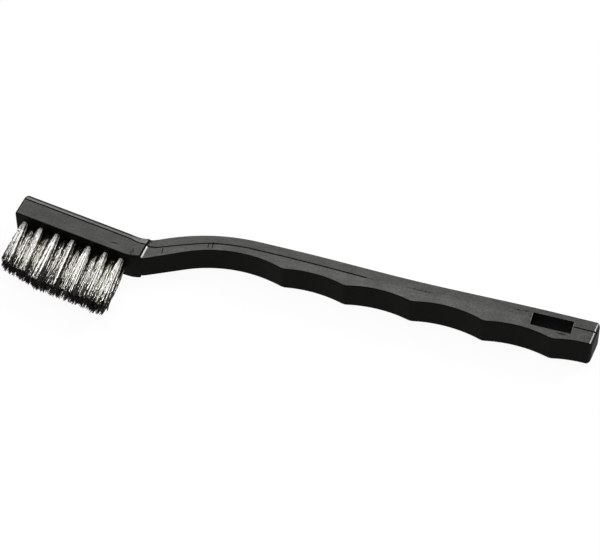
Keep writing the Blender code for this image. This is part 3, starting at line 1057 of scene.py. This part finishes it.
# What keeps the random numbers of a tuft apart, and how many of them a tuft has room for.
SALTS = {
    "strand place": 0, "trim": 1, "stray along": 2, "stray across": 3, "strand turn": 4, "turn": 5,
    "strand phase": 6, "phase": 7, "pitch": 8, "place": 10, "strand trim": 11, "strand stray": 12,
    "strand tint": 13,
}
SALTS_PER_TUFT = 16

# How far strands stand off their even places, how much of a strand's room its wires fill, and how much of a
# wire's trim and stray is its strand's.
STRAND_SHUFFLE = 0.3
STRAND_FILL = 0.8
STRAND_SHARE = 0.6

# How soon the halves of a wire part under the fold and its crimp sets in, how soon the tuft fans out, and how
# far the wires of a strand differ in their crimp.
PARTING_RUN = 0.5 * MM
CRIMP_RUN = 2 * MM
FAN_POWER = 0.6
TURN_SPREAD = 0.5
PHASE_SPREAD = 0.9
PITCH_SPREAD = (0.85, 1.2)

# Tints: the strand's share, and how much darker they get towards each tuft's heel side, a painted shade. Steps
# of the golden share of a whole spread the tints of neighbouring wires evenly.
STRAND_TINT = 0.2
HEEL_SHADE = 0.12
GOLDEN_SHARE = (math.sqrt(5) - 1) / 2

WIRE_SIDES = 4


class TuftGraph(Graph):
    """Geometry nodes for one tuft of crimped wires, each doubled over the anchor with two free ends."""

    def __init__(self):
        super().__init__(bpy.data.node_groups.new("wire_tuft", "GeometryNodeTree"))
        self.tree.interface.new_socket("Geometry", in_out="OUTPUT", socket_type="NodeSocketGeometry")
        for kind, names in TUFT_INPUTS.items():
            for name in names:
                self.tree.interface.new_socket(name, in_out="INPUT", socket_type=kind)
        self.inputs = self.tree.nodes.new("NodeGroupInput")
        self.write()

    def given(self, name):
        """One of the tree's named inputs."""
        return Value(self, self.inputs.outputs[name])

    def random(self, low, high, identity, salt):
        """A fixed random number for each identity. Inputs 2, 3, 7 and 8 are the node's range, ID and seed."""
        inputs = {2: low, 3: high, 7: identity, 8: self.given("Seed") * SALTS_PER_TUFT + SALTS[salt]}
        return self.node("FunctionNodeRandomValue", {"data_type": "FLOAT"}, inputs, 1)

    def shared(self, strand_salt, salt):
        """A random number from -1 to 1 for each end of a wire, mostly the same for its strand."""
        strand = self.random(-1.0, 1.0, self.strand_end, strand_salt)
        return STRAND_SHARE * strand + (1 - STRAND_SHARE) * self.random(-1.0, 1.0, self.end, salt)

    def stored(self, geometry, name, value):
        """A geometry whose points keep a number for the material to read."""
        inputs = {"Geometry": geometry, "Name": name, "Value": value}
        return self.node("GeometryNodeStoreNamedAttribute", {"data_type": "FLOAT", "domain": "POINT"}, inputs)

    def write(self):
        """Writes the tree: straight lines, moved to the wires' places, dressed and given their thickness."""
        wires = self.lines()
        self.sort_into_strands()
        offset = self.node("ShaderNodeCombineXYZ", {}, dict(enumerate(self.offsets())))
        place = self.node("ShaderNodeVectorMath", {"operation": "ADD"}, {0: self.given("Mouth"), 1: offset})
        wires = self.node("GeometryNodeSetPosition", {}, {"Geometry": wires, "Position": place})
        wires = self.stored(wires, "tint", self.tint())
        wires = self.stored(wires, "along", self.outside)
        circle = {"Resolution": WIRE_SIDES, "Radius": self.given("Wire Radius")}
        profile = self.node("GeometryNodeCurvePrimitiveCircle", {"mode": "RADIUS"}, circle)
        tube = {"Curve": wires, "Profile Curve": profile, "Fill Caps": True}
        mesh = self.node("GeometryNodeCurveToMesh", {}, tube)
        mesh = self.node("GeometryNodeRealizeInstances", {}, {"Geometry": mesh})
        finish = {"Geometry": mesh, "Material": self.given("Material")}
        mesh = self.node("GeometryNodeSetMaterial", {}, finish)
        self.node("NodeGroupOutput", {}, {"Geometry": mesh})

    def lines(self):
        """A line for each doubled wire, numbered. Its points run from one end over the fold to the other."""
        line = self.node("GeometryNodeCurvePrimitiveLine", {}, {"Start": (0, 0, 0), "End": (0, 1, 0)})
        line = self.node("GeometryNodeResampleCurve", {}, {"Curve": line, "Count": self.given("Points")})
        copies = {"Geometry": line, "Amount": self.given("Wires")}
        lines = self.node("GeometryNodeDuplicateElements", {"domain": "SPLINE"}, copies)
        self.index = self.other_output(lines, "Duplicate Index")
        factor = self.node("GeometryNodeSplineParameter", {}, {}, "Factor")
        self.away = abs(2 * factor - 1)
        self.leg = self.maths("SIGN", factor - 0.5)
        self.end = 2 * self.index + self.leg
        return lines

    def sort_into_strands(self):
        """Deals the wires out to strands side by side along the row, and stacks each strand's across it."""
        strands = self.given("Strands")
        strand = self.maths("MODULO", self.index, strands)
        member = self.maths("FLOOR", self.index / strands)
        self.strand_end = 2 * strand + self.leg
        shuffle = self.random(-STRAND_SHUFFLE, STRAND_SHUFFLE, strand, "strand place")
        self.across = (2 * strand + 1 + shuffle) / strands - 1
        self.stacked = (member + 0.5) * strands / self.given("Wires")

    def offsets(self):
        """X, Y and Z of a wire's points from the middle of the hole's mouth."""
        radius = self.given("Root Radius")
        strand_reach = radius / self.given("Strands")
        strand_x = (radius - strand_reach) * self.across
        own_x = STRAND_FILL * strand_reach * self.random(-1.0, 1.0, self.index, "place")
        edge = abs(strand_x) + STRAND_FILL * strand_reach
        root_z = self.maths("SQRT", radius * radius - edge * edge) * self.stacked
        tip_z = 0.5 * self.given("Tip Width") * self.stacked
        run_spread = self.given("Tip Run") / (2 * radius)

        length = self.given("Length") + self.given("Slant") * run_spread * strand_x
        length = length + self.given("Trim Scatter") * self.shared("strand trim", "trim")
        fold = self.given("Fold Depth")
        down = self.away * (fold + length)
        self.outside = ((down - fold) / length).clamped()
        opened = self.maths("MINIMUM", down / PARTING_RUN, 1.0)
        grown = self.outside**FAN_POWER

        bent = self.outside**2
        wander = self.given("Stray") * bent
        stray_z = self.random(-1.0, 1.0, self.end, "stray across")
        wave, turn = self.crimp(down)

        x_growth = (run_spread - 1) * grown
        x = strand_x * (1 + x_growth) + own_x * (1 + (1 - self.given("Bunching")) * x_growth)
        x = x + wander * self.shared("strand stray", "stray along") + wave * self.maths("COSINE", turn)
        z = self.leg * opened * (root_z + (tip_z - root_z) * grown)
        z = z + 0.5 * wander * stray_z * abs(stray_z) + wave * self.maths("SINE", turn)
        return x - self.given("Lean") * bent, fold - down, z

    def crimp(self, down):
        """How far a wire waves off its line at each point, and the way that it waves."""
        turn = self.random(0.0, 2 * math.pi, self.strand_end, "strand turn")
        turn = turn + self.random(-TURN_SPREAD, TURN_SPREAD, self.end, "turn")
        phase = self.random(0.0, 2 * math.pi, self.strand_end, "strand phase")
        phase = phase + self.random(-PHASE_SPREAD, PHASE_SPREAD, self.end, "phase")
        pitch = self.given("Crimp Pitch") * self.random(*PITCH_SPREAD, self.strand_end, "pitch")
        wave = self.given("Crimp Depth") * self.maths("SINE", 2 * math.pi * down / pitch + phase)
        return wave * self.maths("MINIMUM", down / CRIMP_RUN, 1.0), turn

    def tint(self):
        """How light each end of a wire is, darker towards the tuft's heel side as painted shade."""
        strand = self.random(0.0, 1.0, self.strand_end, "strand tint")
        even = self.maths("FRACT", GOLDEN_SHARE * self.end)
        # Painted shade towards the tuft's heel side.
        shade = HEEL_SHADE * (self.across + self.across * self.across)
        return STRAND_TINT * strand + (1 - STRAND_TINT) * even - shade


def set_inputs(modifier, values):
    """Sets a geometry nodes modifier's inputs by their names in its tree."""
    identifiers = {item.name: item.identifier for item in modifier.node_group.interface.items_tree}
    for name, value in values.items():
        modifier[identifiers[name]] = value


def tuft_slant(name):
    """How much further a tuft's bristles reach for each metre towards the heel, by the next tuft's."""
    row, number = name.rsplit("_", 1)
    following = f"{row}_{int(number) + 1}"
    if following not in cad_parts:
        return 0.0
    run = box_middle(following).x - box_middle(name).x
    return (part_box(name)[0].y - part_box(following)[0].y) / run


def tuft_inputs(settings, name, anchor):
    """What a tuft's tree is given for its sizes, from the settings and the boxes of the tuft's CAD nodes."""
    tuft_low, tuft_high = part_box(name)
    anchor_low, anchor_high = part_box(anchor)
    middle = (anchor_low + anchor_high) / 2
    mouth = tuft_high.y - HOLE_DEPTH
    in_middle_row = "middle" in name
    leaning = name == f"tuft_lower_{TUFTS_IN_OUTER_ROW}"
    unworn = 1 if in_middle_row else 1 - settings.straightened
    return {
        "Mouth": (middle.x, mouth, middle.z),
        "Wires": settings.wires,
        "Strands": settings.strands,
        "Points": settings.points,
        "Wire Radius": settings.wire_diameter / 2,
        "Root Radius": (HOLE_DIAMETER - settings.wire_diameter) / 2,
        "Tip Run": settings.tip_run if "upper" in name else settings.hidden_run,
        "Tip Width": settings.middle_width if in_middle_row else settings.tip_width,
        "Bunching": settings.bunching,
        "Fold Depth": anchor_high.y - mouth + settings.wire_diameter / 2,
        "Length": mouth - tuft_low.y - settings.scatter,
        "Slant": tuft_slant(name),
        "Trim Scatter": settings.scatter,
        "Stray": unworn * settings.stray,
        "Lean": settings.heel_lean if leaning else 0.0,
        "Crimp Depth": unworn * settings.crimp_depth,
        "Crimp Pitch": settings.crimp_pitch,
    }


class GASKET_BRUSH_OT_handle(bpy.types.Operator):
    """Builds the fine handle in place of the faceted one"""

    bl_idname = "gasket_brush.handle"
    bl_label = "Handle"

    def execute(self, context):
        settings = context.scene.brush_handle
        bm, shift = handle_bmesh(settings)
        handle = object_from(bm, "moulded_handle")
        cutters = (
            object_from(hang_hole_bmesh(settings, shift), "hang_hole"),
            object_from(tuft_holes_bmesh(shift), "tuft_holes"),
            object_from(insert_marks_bmesh(shift), "insert_marks"),
        )
        cut(handle, cutters)
        smooth_shading(handle)
        mark_sides(handle, hang_hole_box(settings, shift), shift)
        handle.data.materials.append(black_plastic(settings, shift))
        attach(handle, BODY)
        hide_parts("handle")
        return {"FINISHED"}


class GASKET_BRUSH_OT_tufts(bpy.types.Operator):
    """Builds each tuft of crimped wires in place of its simple one"""

    bl_idname = "gasket_brush.tufts"
    bl_label = "Wire tufts"

    def execute(self, context):
        settings = context.scene.brush_tufts
        tree = TuftGraph().tree
        material = stainless_wire(settings)
        for seed, (name, anchor) in enumerate(tuft_names()):
            tuft = object_from(bmesh.new(), name.replace("tuft", "bristles"))
            modifier = tuft.modifiers.new("wires", "NODES")
            modifier.node_group = tree
            set_inputs(modifier, tuft_inputs(settings, name, anchor))
            set_inputs(modifier, {"Seed": seed, "Material": material})
            apply_modifiers(tuft)
            tuft.data.shade_smooth()
            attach(tuft, BODY)
            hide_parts(name)
        return {"FINISHED"}


class GASKET_BRUSH_OT_anchors(bpy.types.Operator):
    """Gives the anchors in the holes their steel"""

    bl_idname = "gasket_brush.anchors"
    bl_label = "Anchors"

    def execute(self, context):
        material = anchor_steel()
        for _, anchor in tuft_names():
            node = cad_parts[anchor]
            node.data.materials.clear()
            node.data.materials.append(material)
        return {"FINISHED"}


def towards(azimuth, elevation):
    """The direction from the brush to a place round it, azimuth 0 being in front of the bristles."""
    level = math.cos(elevation)
    return Vector((math.sin(azimuth) * level, -math.cos(azimuth) * level, math.sin(elevation)))


def add_softbox(name, azimuth, elevation, distance, length, height, watts):
    """A large rectangular light that faces the brush."""
    light = bpy.data.lights.new(name, "AREA")
    light.shape = "RECTANGLE"
    light.size = length
    light.size_y = height
    light.energy = watts
    obj = bpy.data.objects.new(name, light)
    back = towards(math.radians(azimuth), math.radians(elevation))
    obj.location = back * distance
    obj.rotation_euler = back.to_track_quat("Z", "Y").to_euler()
    bpy.context.scene.collection.objects.link(obj)


def add_floor(material, level):
    """A wide round floor under the brush."""
    bm = bmesh.new()
    bmesh.ops.create_circle(bm, cap_ends=True, segments=FLOOR_SEGMENTS, radius=FLOOR_RADIUS)
    bmesh.ops.translate(bm, vec=(0, 0, level), verts=bm.verts)
    floor = object_from(bm, "floor")
    floor.data.materials.append(material)


def add_camera(settings):
    """The camera, turned to its aim."""
    camera = bpy.data.objects.new("camera", bpy.data.cameras.new("camera"))
    bpy.context.scene.collection.objects.link(camera)
    camera.data.sensor_width = SENSOR_WIDTH
    camera.data.lens = settings.lens
    camera.data.clip_start, camera.data.clip_end = CLIPPING
    target = CAD_BOX[1] + Vector(AIM)
    back = towards(settings.azimuth, settings.elevation)
    camera.location = target + back * settings.distance
    camera.rotation_euler = back.to_track_quat("Z", "Y").to_euler()
    bpy.context.scene.camera = camera


def set_world(fill):
    """A soft room light, white where it is seen or mirrored."""
    world = bpy.data.worlds.new("room")
    world.use_nodes = True
    world.node_tree.nodes.clear()
    graph = Graph(world.node_tree)
    strength = fill + graph.seen() * (1 - fill)
    sky = graph.node("ShaderNodeBackground", {}, {"Color": (1, 1, 1, 1), "Strength": strength})
    graph.node("ShaderNodeOutputWorld", {}, {"Surface": sky})
    bpy.context.scene.world = world


class GASKET_BRUSH_OT_stage(bpy.types.Operator):
    """Sets the floor, the lights and the camera"""

    bl_idname = "gasket_brush.stage"
    bl_label = "Stage"

    def execute(self, context):
        settings = context.scene.brush_stage
        add_floor(seamless_floor(settings.background), CAD_BOX[0].z)
        for name, place in SOFTBOXES.items():
            add_softbox(name, *place, getattr(settings, name))
        set_world(settings.fill)
        add_camera(settings)
        context.scene.view_settings.view_transform = "Standard"
        return {"FINISHED"}


class GASKET_BRUSH_PT_panel(bpy.types.Panel):
    """Lists the brush's sizes and its building steps"""

    bl_idname = "GASKET_BRUSH_PT_panel"
    bl_label = "Gasket brush"
    bl_space_type = "VIEW_3D"
    bl_region_type = "UI"
    bl_category = "Brush"

    def draw(self, context):
        for group, _, operators in STEPS:
            settings = getattr(context.scene, group)
            box = self.layout.box()
            for name in settings.bl_rna.properties.keys():
                if name not in ("rna_type", "name"):
                    box.prop(settings, name)
            for operator in operators:
                box.operator(operator.bl_idname)


# The scene's groups of settings, each with its class and its operators.
STEPS = (
    ("brush_handle", HandleSettings, (GASKET_BRUSH_OT_handle,)),
    ("brush_tufts", TuftSettings, (GASKET_BRUSH_OT_tufts, GASKET_BRUSH_OT_anchors)),
    ("brush_stage", StageSettings, (GASKET_BRUSH_OT_stage,)),
)
CLASSES = [item for _, group, operators in STEPS for item in (group, *operators)] + [GASKET_BRUSH_PT_panel]


def register():
    """Registers the classes, and puts the settings on the scene."""
    for item in CLASSES:
        bpy.utils.register_class(item)
    for name, group, _ in STEPS:
        setattr(bpy.types.Scene, name, PointerProperty(type=group))


def unregister():
    """Takes the settings off the scene, and the classes out again."""
    for name, _, _ in STEPS:
        delattr(bpy.types.Scene, name)
    for item in reversed(CLASSES):
        bpy.utils.unregister_class(item)


def main():
    """Stages the brush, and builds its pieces."""
    register()
    bpy.ops.gasket_brush.stage()
    bpy.ops.gasket_brush.handle()
    bpy.ops.gasket_brush.tufts()
    bpy.ops.gasket_brush.anchors()


if __name__ == "__main__":
    main()
